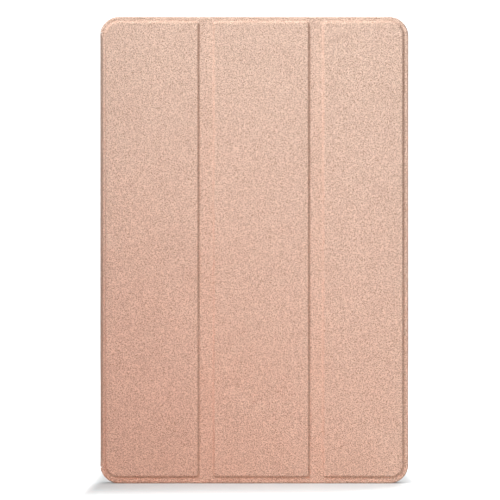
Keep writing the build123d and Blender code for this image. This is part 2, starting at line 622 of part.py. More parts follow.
with BuildPart() as power_button:
    add(block(POWER_X, around(KEY_Y, BUTTON_W), (POWER_FLANGE_Z[0], TABLET_TOP_Z + BUTTON_PROUD)))
    fillet(power_button.faces().sort_by(Axis.Z)[-1].edges(), radius=0.3)
    add(block(grow(POWER_X, FLANGE_OVER), around(KEY_Y, BUTTON_W + 0.7), POWER_FLANGE_Z))
write(power_button.part, "power_button")

SWITCH_DEPTH = 1.3
POWER_SWITCH_TOP = POWER_FLANGE_Z[0] - POWER_TRAVEL - 0.05
power_switch = block(around(sum(POWER_X) / 2, 5.0), around(KEY_Y, SWITCH_W),
                     (POWER_SWITCH_TOP - SWITCH_DEPTH, POWER_SWITCH_TOP))
write(power_switch, "power_switch")

VOLUME_PIVOT_X = CAVITY_X[1] - 0.65
with BuildPart() as volume_rocker:
    add(block((VOLUME_PIVOT_X - FLANGE_T, TABLET_RIGHT_X + BUTTON_PROUD), around(KEY_Y, BUTTON_W), VOLUME_Z))
    fillet(volume_rocker.faces().sort_by(Axis.X)[-1].edges(), radius=0.3)
    add(block((VOLUME_PIVOT_X - FLANGE_T, VOLUME_PIVOT_X), around(KEY_Y, BUTTON_W + 0.7),
              grow(VOLUME_Z, FLANGE_OVER)))
write(volume_rocker.part, "volume_rocker")

SWITCH_X = (VOLUME_PIVOT_X - FLANGE_T - 1.9, VOLUME_PIVOT_X - FLANGE_T - 0.55)
SWITCH_SPACING = 19.0
with BuildPart() as volume_switches:
    for side in (-1, 1):
        middle = sum(VOLUME_Z) / 2 + side * SWITCH_SPACING / 2
        add(block(SWITCH_X, around(KEY_Y, SWITCH_W), around(middle, 4.0)))
write(volume_switches.part, "volume_switches")

FLEX_X = (SWITCH_X[0] - 0.5, SWITCH_X[0])
FLEX_Y = (KEY_Y + SWITCH_W / 2 - 0.15, KEY_Y + SWITCH_W / 2)
FLEX_TOP = POWER_SWITCH_TOP - SWITCH_DEPTH
FLEX_LEG = 3.0  # width of the strip's legs to the main board and to the power switch
FLEX_PAD = 8.0
with BuildPart() as side_key_flex:
    add(block(FLEX_X, around(KEY_Y, SWITCH_W), grow(VOLUME_Z, 1.5)))
    add(block((MAIN_BOARD_X[1], FLEX_X[1]), FLEX_Y, (VOLUME_Z[1], VOLUME_Z[1] + FLEX_LEG)))
    add(block((FLEX_X[1] - 2.4, FLEX_X[1]), FLEX_Y, (VOLUME_Z[1], FLEX_TOP)))
    add(block(((sum(POWER_X) - FLEX_PAD) / 2, FLEX_X[1]), FLEX_Y, (FLEX_TOP - FLEX_LEG, FLEX_TOP)))
    add(block(around(sum(POWER_X) / 2, FLEX_PAD), around(KEY_Y, SWITCH_W), (FLEX_TOP - 0.4, FLEX_TOP)))
write(side_key_flex.part, "side_key_flex")

# ------------------------------------------------------------------ memory card tray and its reader
TRAY_T = 0.8
TRAY_INNER_X = CAVITY_X[1] - TRAY_DEPTH
with BuildPart() as card_tray:
    add(block((CAVITY_X[1] - 0.2, TABLET_RIGHT_X - 0.05), around(TRAY_Y, TRAY_HEAD_T),
              around(TRAY_Z, TRAY_HEAD_W)))
    add(block((TRAY_INNER_X, CAVITY_X[1]), around(TRAY_Y, TRAY_T), around(TRAY_Z, TRAY_W), 1.0))
    add(block((TRAY_INNER_X + 1.5, TRAY_INNER_X + 16.5), (TRAY_Y - TRAY_T, TRAY_Y + TRAY_T / 2 - 0.2),
              around(TRAY_Z, 11.0), 0.5), mode=Mode.SUBTRACT)
write(card_tray.part, "card_tray")

with BuildPart() as card_reader:
    add(block((TRAY_INNER_X - 0.8, CAVITY_X[1] - 0.6), around(TRAY_Y, 2.0), around(TRAY_Z, TRAY_W + 2.0)))
    add(block((TRAY_INNER_X - 0.3, CAVITY_X[1]), around(TRAY_Y, TRAY_T + 0.4), around(TRAY_Z, TRAY_W + 0.4)),
        mode=Mode.SUBTRACT)
write(card_reader.part, "card_reader")

# ------------------------------------------------------------------ hall sensor and antennas
hall_sensor = block((70.0, 73.0), (PLATE_Y[1], 1.0), (120.0, 122.5))
write(hall_sensor, "hall_sensor")

ANTENNA_Y = (0.6, 1.4)
ANTENNA_PLACES = (((-74.0, -58.0), (244.0, 253.0)), ((70.0, 78.0), (8.0, 26.0)))
with BuildPart() as antennas:
    for span_x, span_z in ANTENNA_PLACES:
        add(block(span_x, ANTENNA_Y, span_z))
write(antennas.part, "antennas")
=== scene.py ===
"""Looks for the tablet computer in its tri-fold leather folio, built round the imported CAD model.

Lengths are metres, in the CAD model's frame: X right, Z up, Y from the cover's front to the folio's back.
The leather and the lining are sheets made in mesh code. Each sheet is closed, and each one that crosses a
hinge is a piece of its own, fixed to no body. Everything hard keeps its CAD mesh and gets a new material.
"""

import json
import math

import bmesh
import bpy
import numpy as np
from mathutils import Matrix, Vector, noise

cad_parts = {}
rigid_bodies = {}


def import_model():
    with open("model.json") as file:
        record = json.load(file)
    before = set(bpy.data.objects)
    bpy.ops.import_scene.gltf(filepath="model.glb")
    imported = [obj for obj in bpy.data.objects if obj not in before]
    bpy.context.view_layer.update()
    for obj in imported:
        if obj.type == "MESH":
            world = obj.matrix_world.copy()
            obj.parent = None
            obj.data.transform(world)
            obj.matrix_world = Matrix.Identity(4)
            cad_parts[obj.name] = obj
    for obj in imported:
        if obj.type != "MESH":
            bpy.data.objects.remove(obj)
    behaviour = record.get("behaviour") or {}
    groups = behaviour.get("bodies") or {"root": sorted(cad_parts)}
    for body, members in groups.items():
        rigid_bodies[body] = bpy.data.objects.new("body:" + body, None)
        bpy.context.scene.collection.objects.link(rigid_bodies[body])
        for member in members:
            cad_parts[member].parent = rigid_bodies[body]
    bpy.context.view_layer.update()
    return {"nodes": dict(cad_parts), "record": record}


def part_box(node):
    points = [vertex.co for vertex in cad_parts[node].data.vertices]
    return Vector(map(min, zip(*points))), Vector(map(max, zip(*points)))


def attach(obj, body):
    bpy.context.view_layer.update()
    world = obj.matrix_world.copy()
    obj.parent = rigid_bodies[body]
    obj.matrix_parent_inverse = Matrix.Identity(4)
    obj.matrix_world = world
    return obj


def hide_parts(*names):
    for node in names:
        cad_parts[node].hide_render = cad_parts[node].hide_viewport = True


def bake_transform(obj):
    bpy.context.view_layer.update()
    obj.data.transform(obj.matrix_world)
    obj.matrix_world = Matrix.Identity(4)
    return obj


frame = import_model()

MM = 0.001

# ------------------------------------------------------------------ places taken from the frame
COVER_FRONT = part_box("panel_2_skin")[0].y  # face of the raised fields
BACK_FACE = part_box("back_skin")[1].y
LINING_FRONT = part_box("panel_2_lining")[0].y
LINING_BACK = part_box("panel_2_lining")[1].y
BASE_DEPTH = 1.3 * MM  # from the lining's back to the face of the flat rim and the creases
BASE_FRONT = LINING_BACK - BASE_DEPTH
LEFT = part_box("spine_skin")[0].x
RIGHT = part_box("panel_3_skin")[1].x
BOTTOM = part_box("panel_2_skin")[0].z
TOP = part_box("panel_2_skin")[1].z
SPINE_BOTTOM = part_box("spine_skin")[0].z
SPINE_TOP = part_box("spine_skin")[1].z

RISE = BASE_FRONT - COVER_FRONT  # height of a raised field above the rim
SLOPE_W = 1.65 * MM  # width of the soft edge round a raised field
BOARD_INSET = 1.3 * MM  # from a raised field's foot to the board inside it
OUTER_CORNER = 8.0 * MM
CREASE_CORNER = 2.5 * MM
FOLIO_CORNER = 10.6 * MM
SKIN_T = 0.8 * MM
LINING_INSET = 1.2 * MM
SPINE_SKIN_T = 0.5 * MM
FLAT_MARGIN = 0.3 * MM  # a crease piece starts this far past the foot of a raised field
HINGE_RUN = 2.1 * MM
HINGE_EDGE = LEFT + HINGE_RUN  # where the flap's and the back's leather pass into the hinge pieces


# ------------------------------------------------------------------ outlines as distances
def rounded_box(x, z, x0, x1, z0, z1, r_left, r_right):
    """Distance inside a rectangle whose left and right corners have their own radii, negative outside."""
    r = np.where(x < (x0 + x1) / 2, r_left, r_right)
    qx = np.abs(x - (x0 + x1) / 2) - (x1 - x0) / 2 + r
    qz = np.abs(z - (z0 + z1) / 2) - (z1 - z0) / 2 + r
    outside = np.hypot(np.maximum(qx, 0), np.maximum(qz, 0))
    return r - outside - np.minimum(np.maximum(qx, qz), 0)


def smooth(t):
    """0 to 1 with level ends."""
    t = np.clip(t, 0, 1)
    return t * t * (3 - 2 * t)


FIELDS = []
for number, corners in ((1, (OUTER_CORNER, CREASE_CORNER)), (2, (CREASE_CORNER, CREASE_CORNER)),
                        (3, (CREASE_CORNER, OUTER_CORNER))):
    low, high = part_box(f"panel_{number}_board")
    FIELDS.append((low.x - BOARD_INSET, high.x + BOARD_INSET,
                   low.z - BOARD_INSET, high.z + BOARD_INSET, *corners))


def field_depth(x, z):
    """How far inside the nearest raised field a point is."""
    return np.max([rounded_box(x, z, *field) for field in FIELDS], axis=0)


def edge_depth(x, z):
    """How far inside the flap's outline a point is."""
    return rounded_box(x, z, LEFT, RIGHT, BOTTOM, TOP, FOLIO_CORNER, FOLIO_CORNER)


SLOW_WAVES = (45, 30, 3.1)  # waves per metre along X and Z, and a place in the noise
WRINKLES = (260, 16, 7.7)
SLOW_HEIGHT, WRINKLE_HEIGHT = 0.035, 0.03  # millimetres
WRINKLED = ((0.13, 0.1), (0.02, 0.08))  # start and fade above this z, and to the left of this x
WAVY_ELSEWHERE = 0.35


def waviness(x, z):
    """Slow unevenness of the glued leather, and the faint upright wrinkles near the top left."""
    height = np.zeros(x.shape)
    for index in np.ndindex(x.shape):
        slow, wrinkle = (noise.noise(Vector((x[index] * along_x, z[index] * along_z, place)))
                         for along_x, along_z, place in (SLOW_WAVES, WRINKLES))
        height[index] = SLOW_HEIGHT * slow + WRINKLE_HEIGHT * wrinkle
    (z_start, z_fade), (x_start, x_fade) = WRINKLED
    where = smooth((z - z_start) / z_fade) * smooth((x_start - x) / x_fade)
    return height * MM * (WAVY_ELSEWHERE + (1 - WAVY_ELSEWHERE) * where)


# ------------------------------------------------------------------ grids
def spaced(breaks):
    """Values through a list of (value, pitch on the way to the next value)."""
    values = []
    for (start, pitch), (end, _) in zip(breaks, breaks[1:]):
        count = max(1, math.ceil((end - start) / pitch - 1e-6))
        values += list(np.linspace(start, end, count, endpoint=False))
    return np.array(values + [breaks[-1][0]])


ROLL = 0.65 * MM  # radius of a sheet's rounded edge
ROLL_STEPS = [ROLL * (1 - math.cos(math.radians(a))) for a in (0, 12, 25, 40, 56, 73, 90)]
EDGE_PITCH = 0.33 * MM
MIDDLE_PITCH = 0.7 * MM
FLAT_PITCH = 2.2 * MM
SLOPE_END = 5 * MM  # the embossed slope lies nearer to an outer edge than this
CORNER_RUN = 12 * MM  # stretch beside an outer edge that is squeezed to follow the rounded corner
SPINE_STEP = 0.25 * MM  # height over which the flap's edge moves in to make room for the spine


def outer_steps(far):
    """Distances from an outer edge: close together over its roll and the embossed slope, then wider."""
    inner = spaced([(ROLL, EDGE_PITCH), (SLOPE_END, MIDDLE_PITCH), (CORNER_RUN, FLAT_PITCH), (far, 0)])
    return list(ROLL_STEPS[:-1]) + list(inner)


def with_spine_rows(rows):
    """The rows and the ones where the spine strip starts and ends."""
    ends = [SPINE_BOTTOM - SPINE_STEP, SPINE_BOTTOM, SPINE_TOP, SPINE_TOP + SPINE_STEP]
    return np.sort(np.concatenate([rows, ends]))


steps = np.array(outer_steps((TOP - BOTTOM) / 2))
ROWS = with_spine_rows(np.concatenate([BOTTOM + steps, (TOP - steps)[::-1][1:]]))


def by_spine(z):
    """True for the rows that the spine strip runs along."""
    slack = 0.1 * MM
    return (z > SPINE_BOTTOM - slack) & (z < SPINE_TOP + slack)


def outline_x(z, x_edge, inward, corner, z0, z1):
    """x of an upright outer edge at height z, with its rounded corners.
    inward is 1 for a left edge and -1 for a right one."""
    into = np.maximum(corner - np.minimum(z - z0, z1 - z), 0)
    return x_edge + inward * (corner - np.sqrt(np.maximum(corner**2 - into**2, 0)))


def squeeze(columns, edge_x, rows, inward, corner, z0, z1):
    """x of every grid point: columns near a rounded outer edge are pressed inwards at its corners."""
    x = np.tile(columns, (len(rows), 1))
    for r, z in enumerate(rows):
        shift = abs(outline_x(z, edge_x, inward, corner, z0, z1) - edge_x)
        away = (columns - edge_x) * inward
        share = np.clip(1 - away / CORNER_RUN, 0, 1)
        x[r] += inward * shift * share
    return x


# ------------------------------------------------------------------ meshes
def link(mesh, name):
    """A new object in the scene that shows the mesh."""
    piece = bpy.data.objects.new(name, mesh)
    bpy.context.scene.collection.objects.link(piece)
    return piece


def new_piece(mesh, name, material):
    """A new object that shows the mesh in the material, with its sharp edges marked."""
    mesh.shade_smooth()
    mesh.materials.append(material)
    piece = link(mesh, name)
    tidy_edges(piece)
    return piece


def keep_rest(mesh, press_and_shade=None):
    """Store each point's place at rest and how firmly the leather is pressed there, which sets its gloss,
    grain and painted shade, for the materials.
    """
    places = np.array([point.co for point in mesh.vertices], np.float32)
    mesh.attributes.new("rest", "FLOAT_VECTOR", "POINT").data.foreach_set("vector", places.ravel())
    press_and_shade_attribute = mesh.attributes.new("press_and_shade", "FLOAT", "POINT")
    if press_and_shade is not None:
        press_and_shade_attribute.data.foreach_set("value", press_and_shade.astype(np.float32))


def closed_sheet(name, front, back, material, press_and_shade=None):
    """A closed sheet from two grids of points, front and back, with walls round their edges.
    press_and_shade tells how firmly each point of the front is pressed, which also sets the painted shade
    there."""
    rows, cols = front.shape[:2]
    count = rows * cols
    points = np.concatenate([front.reshape(-1, 3), back.reshape(-1, 3)])
    faces = []
    for r in range(rows - 1):
        for c in range(cols - 1):
            a = r * cols + c
            faces.append((a, a + 1, a + cols + 1, a + cols))
            faces.append((a + count, a + cols + count, a + cols + 1 + count, a + 1 + count))
    rim = list(range(cols))
    rim += [r * cols + cols - 1 for r in range(1, rows)]
    rim += [(rows - 1) * cols + c for c in range(cols - 2, -1, -1)]
    rim += [r * cols for r in range(rows - 2, 0, -1)]
    for a, b in zip(rim, rim[1:] + rim[:1]):
        faces.append((a, a + count, b + count, b))
    mesh = bpy.data.meshes.new(name)
    mesh.from_pydata(points.tolist(), [], faces)
    mesh.validate()
    keep_rest(mesh, None if press_and_shade is None else np.concatenate([press_and_shade.ravel(), np.zeros(count)]))
    return new_piece(mesh, name, material)


MERGE_WITHIN = 0.002 * MM
SHORTEST_EDGE = 0.001 * MM
SHARP_ANGLE = math.radians(50)


def tidy_edges(piece):
    """Merge points that coincide, as along a rolled edge, and mark the edges that turn sharply.
    The walls of a sheet are sharp to its faces, so neighbouring sheets shade as one where they meet."""
    work = bmesh.new()
    work.from_mesh(piece.data)
    bmesh.ops.remove_doubles(work, verts=work.verts, dist=MERGE_WITHIN)
    bmesh.ops.dissolve_degenerate(work, edges=work.edges, dist=SHORTEST_EDGE)
    bmesh.ops.recalc_face_normals(work, faces=work.faces)
    for edge in work.edges:
        edge.smooth = len(edge.link_faces) == 2 and edge.calc_face_angle(0) < SHARP_ANGLE
    work.to_mesh(piece.data)
    work.free()


def grid(x, y, z):
    """An array of points from arrays of their coordinates."""
    return np.stack(np.broadcast_arrays(x, y, z), axis=-1).astype(float)


def rolled(depth, radius):
    """How far a face falls back towards the sheet's middle near a rounded edge."""
    into = np.clip(radius - depth, 0, radius)
    return radius - np.sqrt(radius**2 - into**2)


# ------------------------------------------------------------------ materials
def nodes_of(name):
    """A new material, its node tree and its shader node."""
    material = bpy.data.materials.new(name)
    material.use_nodes = True
    tree = material.node_tree
    return material, tree, tree.nodes["Principled BSDF"]


class Tree:
    """Short forms for the few shader nodes that the materials and the world use."""

    def __init__(self, tree):
        self.tree = tree

    def node(self, kind, **values):
        """A new node with these settings."""
        node = self.tree.nodes.new(kind)
        for key, value in values.items():
            setattr(node, key, value)
        return node

    def link(self, output, socket):
        """Join an output to an input."""
        self.tree.links.new(output, socket)

    def place(self, attribute=None, stretch=(1, 1, 1)):
        """Coordinates in metres, from the object or a stored attribute, times a factor on each axis."""
        if attribute:
            source = self.node("ShaderNodeAttribute", attribute_name=attribute).outputs["Vector"]
        else:
            source = self.node("ShaderNodeTexCoord").outputs["Object"]
        mapping = self.node("ShaderNodeMapping")
        mapping.inputs["Scale"].default_value = stretch
        self.link(source, mapping.inputs["Vector"])
        return mapping.outputs["Vector"]

    def noise(self, vector, scale, detail=2.0, roughness=0.5, distortion=0.0):
        """Soft noise, with its scale in waves per metre."""
        node = self.node("ShaderNodeTexNoise")
        node.inputs["Scale"].default_value = scale
        node.inputs["Detail"].default_value = detail
        node.inputs["Roughness"].default_value = roughness
        node.inputs["Distortion"].default_value = distortion
        self.link(vector, node.inputs["Vector"])
        return node.outputs["Fac"]

    def cells(self, vector, scale, feature="F1", smoothness=0.5):
        """Distance to the middle of the nearest cell, with the scale in cells per metre."""
        node = self.node("ShaderNodeTexVoronoi", feature=feature)
        node.inputs["Scale"].default_value = scale
        if feature == "SMOOTH_F1":
            node.inputs["Smoothness"].default_value = smoothness
        self.link(vector, node.inputs["Vector"])
        return node.outputs["Distance"]

    def fit(self, value, low, high, to_low, to_high):
        """The range low to high drawn out to another range, and held at its ends."""
        node = self.node("ShaderNodeMapRange")
        for socket, number in zip(("From Min", "From Max", "To Min", "To Max"), (low, high, to_low, to_high)):
            node.inputs[socket].default_value = number
        self.link(value, node.inputs["Value"])
        return node.outputs["Result"]

    def maths(self, kind, a, b):
        """A sum, product or other operation on two values, each an output or a number."""
        node = self.node("ShaderNodeMath", operation=kind)
        for socket, value in zip(node.inputs, (a, b)):
            if isinstance(value, (int, float)):
                socket.default_value = value
            else:
                self.link(value, socket)
        return node.outputs[0]

    def mix(self, factor, a, b):
        """A colour between a and b, each an output or a tuple."""
        node = self.node("ShaderNodeMix", data_type="RGBA")
        if isinstance(factor, (int, float)):
            node.inputs[0].default_value = factor
        else:
            self.link(factor, node.inputs[0])
        for socket, value in zip((node.inputs[6], node.inputs[7]), (a, b)):
            if isinstance(value, tuple):
                socket.default_value = (*value, 1.0)
            else:
                self.link(value, socket)
        return node.outputs[2]

    def bump(self, height, distance, strength=1.0):
        """A surface direction bent by a height."""
        node = self.node("ShaderNodeBump")
        node.inputs["Strength"].default_value = strength
        node.inputs["Distance"].default_value = distance
        self.link(height, node.inputs["Height"])
        return node.outputs["Normal"]


DARK_TONE, MIDDLE_TONE, LIGHT_TONE = (0.600, 0.362, 0.266), (0.690, 0.450, 0.345), (0.785, 0.555, 0.445)
PIT_SHADE_TONE = (0.410, 0.235, 0.155)
PEAK_GLINT_TONE = (0.980, 0.760, 0.640)
GRAIN_STRETCH = (0.78, 1.0, 1.0)  # under 1 on X, so that the grain is a little wider than high
WORM_SCALE, SAND_SCALE, FINE_SCALE = 2350, 1950, 3400  # the grain's three noises, per metre
SLOW_SCALE, PATCH_SCALE = 22, 160  # the mottling's two noises
GRAIN_DEPTH = 0.7 * MM
SPECKLED = 0.76  # share of the colour that follows the grain, with painted glints on its peaks and painted shade in its pits
PRESS_PAINTED_SHADE, PRESS_DULLER, PRESS_FLATTER = 0.22, 0.08, 0.6  # painted shade in the colour, and what pressing does to gloss and grain, along the press mask


def leather(name):
    """Rose-gold artificial leather: a fine sandy grain with painted glints on its peaks and painted shade in
    its pits, and metallic mottling.
    It is duller and flatter where it is pressed, and darker there with painted shade along the embossed
    slopes and the rolled edge."""
    material, tree, shader = nodes_of(name)
    t = Tree(tree)
    grain_place = t.place("rest", GRAIN_STRETCH)
    worm = t.noise(grain_place, WORM_SCALE, detail=2.0, roughness=0.6, distortion=0.5)
    sand = t.cells(grain_place, SAND_SCALE, "SMOOTH_F1", 0.6)
    fine = t.noise(grain_place, FINE_SCALE, detail=1.0)
    grain = t.maths("ADD", t.maths("MULTIPLY", worm, 0.55), t.maths("MULTIPLY", sand, 0.45))
    slow = t.noise(t.place("rest"), SLOW_SCALE, detail=3.0, roughness=0.55)
    patch = t.noise(t.place("rest", (1.6, 1.0, 0.8)), PATCH_SCALE, detail=3.0, roughness=0.6)
    tone = t.maths("ADD", t.maths("MULTIPLY", slow, 0.5), t.maths("MULTIPLY", patch, 0.5))
    base = t.mix(t.fit(tone, 0.36, 0.64, 0.0, 1.0), DARK_TONE, LIGHT_TONE)
    base = t.mix(0.55, base, MIDDLE_TONE)
    # grain tone with painted glints and painted shade: the grain's peaks take a light tone and its pits a
    # dark one, in place of light on the fine bumps
    speckle = t.fit(t.maths("ADD", t.maths("MULTIPLY", grain, 0.7), t.maths("MULTIPLY", fine, 0.3)),
                    0.39, 0.54, 0.0, 1.0)
    colour = t.mix(SPECKLED, base, t.mix(speckle, PIT_SHADE_TONE, PEAK_GLINT_TONE))
    press_and_shade = t.node("ShaderNodeAttribute", attribute_name="press_and_shade").outputs["Fac"]
    # painted shade: the colour is mixed towards the dark tone along the embossed slopes and the rolled edge
    painted_shade = t.maths("MULTIPLY", press_and_shade, PRESS_PAINTED_SHADE)
    t.link(t.mix(painted_shade, colour, DARK_TONE), shader.inputs["Base Color"])
    rough = t.fit(t.maths("ADD", grain, fine), 0.6, 1.2, 0.62, 0.46)
    t.link(t.maths("ADD", rough, t.maths("MULTIPLY", press_and_shade, PRESS_DULLER)), shader.inputs["Roughness"])
    depth = t.maths("MULTIPLY", t.maths("ADD", grain, t.maths("MULTIPLY", fine, 0.35)),
                    t.maths("SUBTRACT", 1.0, t.maths("MULTIPLY", press_and_shade, PRESS_FLATTER)))
    t.link(t.bump(depth, GRAIN_DEPTH), shader.inputs["Normal"])
    shader.inputs["Metallic"].default_value = 0.6
    return material


def microfibre(name):
    """Short brushed nap, warm grey, with slow brushed patches."""
    material, tree, shader = nodes_of(name)
    t = Tree(tree)
    nap = t.noise(t.place("rest", (1.0, 1.0, 0.35)), 1900, detail=2.0, roughness=0.7)
    brushed = t.noise(t.place("rest", (1.0, 1.0, 0.5)), 60, detail=3.0)
    tone = t.maths("ADD", t.maths("MULTIPLY", nap, 0.6), t.maths("MULTIPLY", brushed, 0.4))
    t.link(t.mix(t.fit(tone, 0.35, 0.65, 0.0, 1.0), (0.29, 0.235, 0.215), (0.43, 0.355, 0.325)),
           shader.inputs["Base Color"])
    t.link(t.bump(nap, 0.10 * MM, 0.6), shader.inputs["Normal"])
    shader.inputs["Roughness"].default_value = 0.95
    shader.inputs["Sheen Weight"].default_value = 0.35
    shader.inputs["Sheen Roughness"].default_value = 0.5
    return material


def moulded(name, colour, roughness=0.5, grain=1500, depth=0.02, metallic=0.0, variation=0.06, specular=0.5):
    """Moulded plastic, blasted metal and other even solids: fine grain and a slight change of tone.
    depth is the grain's, in millimetres."""
    material, tree, shader = nodes_of(name)
    t = Tree(tree)
    place = t.place()
    fine = t.noise(place, grain, detail=2.0, roughness=0.6)
    slow = t.noise(place, 40, detail=2.0)
    tone = t.maths("ADD", t.maths("MULTIPLY", fine, 0.5), t.maths("MULTIPLY", slow, 0.5))
    dark = tuple(c * (1 - variation) for c in colour)
    light = tuple(min(1.0, c * (1 + variation)) for c in colour)
    t.link(t.mix(t.fit(tone, 0.35, 0.65, 0.0, 1.0), dark, light), shader.inputs["Base Color"])
    t.link(t.fit(fine, 0.3, 0.7, roughness - 0.05, roughness + 0.05), shader.inputs["Roughness"])
    t.link(t.bump(fine, depth * MM, 0.5), shader.inputs["Normal"])
    shader.inputs["Metallic"].default_value = metallic
    shader.inputs["Specular IOR Level"].default_value = specular
    return material


def brushed(name, colour, roughness=0.35):
    """Rolled or brushed sheet metal: fine lines along X."""
    material, tree, shader = nodes_of(name)
    t = Tree(tree)
    lines = t.noise(t.place(None, (0.05, 1.0, 1.0)), 3500, detail=2.0)
    t.link(t.mix(t.fit(lines, 0.3, 0.7, 0.0, 1.0), tuple(c * 0.85 for c in colour), colour),
           shader.inputs["Base Color"])
    t.link(t.fit(lines, 0.3, 0.7, roughness - 0.08, roughness + 0.08), shader.inputs["Roughness"])
    t.link(t.bump(lines, 0.004 * MM, 0.5), shader.inputs["Normal"])
    shader.inputs["Metallic"].default_value = 1.0
    return material


def circuit(name):
    """Solder mask over copper tracks."""
    material, tree, shader = nodes_of(name)
    t = Tree(tree)
    tracks = t.cells(t.place(), 260, "F1")
    fine = t.noise(t.place(), 900, detail=2.0)
    t.link(t.mix(t.fit(tracks, 0.2, 0.6, 0.0, 1.0), (0.012, 0.075, 0.05), (0.02, 0.13, 0.085)),
           shader.inputs["Base Color"])
    t.link(t.bump(t.maths("ADD", tracks, fine), 0.01 * MM, 0.5), shader.inputs["Normal"])
    shader.inputs["Roughness"].default_value = 0.35
    return material


def clear_glass(name, tint):
    """Polished glass with the faintest smear of finger marks in its roughness."""
    material, tree, shader = nodes_of(name)
    t = Tree(tree)
    smear = t.noise(t.place(None, (1.0, 1.0, 0.6)), 35, detail=4.0, roughness=0.6)
    t.link(t.fit(smear, 0.4, 0.75, 0.01, 0.04), shader.inputs["Roughness"])
    shader.inputs["Base Color"].default_value = (*tint, 1.0)
    shader.inputs["Transmission Weight"].default_value = 1.0
    shader.inputs["IOR"].default_value = 1.5
    return material


def screen_off(name):
    """A dark display: nearly black, with a slow bluish change of tone."""
    material, tree, shader = nodes_of(name)
    t = Tree(tree)
    slow = t.noise(t.place(), 12, detail=1.0)
    t.link(t.mix(t.fit(slow, 0.3, 0.7, 0.0, 1.0), (0.006, 0.007, 0.010), (0.011, 0.012, 0.018)),
           shader.inputs["Base Color"])
    t.link(t.fit(slow, 0.3, 0.7, 0.16, 0.22), shader.inputs["Roughness"])
    shader.inputs["Specular IOR Level"].default_value = 0.0
    return material


LEATHER = leather("rose_leather")
MICROFIBRE = microfibre("lining_cloth")
CAD_FINISH = {
    "shell_plastic": moulded("shell_plastic", (0.52, 0.30, 0.215), 0.45, grain=1400, depth=0.02),
    "housing_aluminium": moulded("housing_aluminium", (0.66, 0.47, 0.40), 0.34, grain=3200, depth=0.008,
                                 metallic=0.9),
    "fibre_board": moulded("fibre_board", (0.16, 0.145, 0.12), 0.9, grain=700, depth=0.05, variation=0.2),
    "magnet": brushed("magnet_nickel", (0.62, 0.61, 0.60), 0.25),
    "display": screen_off("display_off"),
    "backlight": moulded("light_guide", (0.80, 0.80, 0.80), 0.3),
    "plate_metal": brushed("plate_metal", (0.60, 0.60, 0.62), 0.38),
    "steel": brushed("steel", (0.52, 0.52, 0.54), 0.3),
    "battery_foil": moulded("battery_foil", (0.018, 0.018, 0.020), 0.42, grain=500, depth=0.03),
    "circuit_board": circuit("solder_mask"),
    "graphite": moulded("graphite_film", (0.03, 0.03, 0.032), 0.5, grain=900, depth=0.01, metallic=0.3),
    "flex_film": moulded("flex_film", (0.30, 0.12, 0.02), 0.3, grain=300, depth=0.01, variation=0.15),
    "black_plastic": moulded("black_plastic", (0.012, 0.012, 0.013), 0.4, grain=1800, depth=0.02),
    "lens_glass": clear_glass("lens_glass", (0.80, 0.84, 0.95)),
    "lamp_plastic": moulded("lamp_plastic", (0.85, 0.80, 0.60), 0.2, grain=2500, depth=0.02),
    "cover_leather": LEATHER,
    "microfibre": MICROFIBRE,
    "front_glass": clear_glass("front_glass", (0.93, 0.95, 0.97)),
}

slot_of = {s["node"]: s["material_slot"] for s in frame["record"]["subparts"]}
for node_name, node in frame["nodes"].items():
    node.data.materials.clear()
    node.data.materials.append(CAD_FINISH[slot_of[node_name]])

# ------------------------------------------------------------------ the cover's leather, lining and creases
FOOT = [(field[0], field[1]) for field in FIELDS]
CUTS = [HINGE_EDGE, FOOT[0][1] + FLAT_MARGIN, FOOT[1][0] - FLAT_MARGIN,
        FOOT[1][1] + FLAT_MARGIN, FOOT[2][0] - FLAT_MARGIN, RIGHT]
DENSE_RUN = SLOPE_W + 1.0 * MM + FLAT_MARGIN  # a panel's columns are close together this far from a crease
CREASE_WIDEST = 10 * MM  # a narrower stretch of the flap is a crease
CREASE_PITCH = 0.4 * MM
WAVES_FADE = 1.5 * MM  # width past the rolled edge over which the unevenness fades in
EDGE_PRESS_AND_SHADE = 0.5  # how firmly the flap's rolled edge is pressed and painted with shade, beside 1 in the middle of a slope


def cover_columns(x0, x1):
    """Columns between two x values: close together over the slopes of the raised fields."""
    if x1 - x0 < CREASE_WIDEST:
        return spaced([(x0, CREASE_PITCH), (x1, 0)])
    dense_left, dense_right = x0 + DENSE_RUN, x1 - DENSE_RUN
    if x1 == RIGHT:
        inner = spaced([(x0, EDGE_PITCH), (dense_left, FLAT_PITCH), (RIGHT - CORNER_RUN, 0)])
        outer = RIGHT - np.array(outer_steps(CORNER_RUN))[::-1]
        return np.concatenate([inner[:-1], outer])
    if x0 == HINGE_EDGE:
        inner = spaced([(LEFT + CORNER_RUN, FLAT_PITCH), (dense_right, EDGE_PITCH), (x1, 0)])
        outer = LEFT + np.array(outer_steps(CORNER_RUN))
        return np.concatenate([outer[:-1], inner])
    return spaced([(x0, EDGE_PITCH), (dense_left, FLAT_PITCH), (dense_right, EDGE_PITCH), (x1, 0)])


def cover_grid(x0, x1):
    """x and z of every point of a stretch of the flap, following its rounded corners and the spine's edge."""
    columns = cover_columns(x0, x1)
    z = np.tile(ROWS[:, None], (1, len(columns)))
    if x1 == RIGHT:
        return squeeze(columns, RIGHT, ROWS, -1, FOLIO_CORNER, BOTTOM, TOP), z
    if x0 == HINGE_EDGE:
        x = squeeze(columns, LEFT, ROWS, 1, FOLIO_CORNER, BOTTOM, TOP)
        share = np.clip((CORNER_RUN - (columns - LEFT)) / CORNER_RUN, 0, 1)
        for r in np.nonzero(by_spine(ROWS))[0]:
            # beside the spine the sheet starts at its hinge piece
            x[r] += max(HINGE_EDGE - x[r, 0], 0) * share
        return x, z
    return np.tile(columns, (len(ROWS), 1)), z


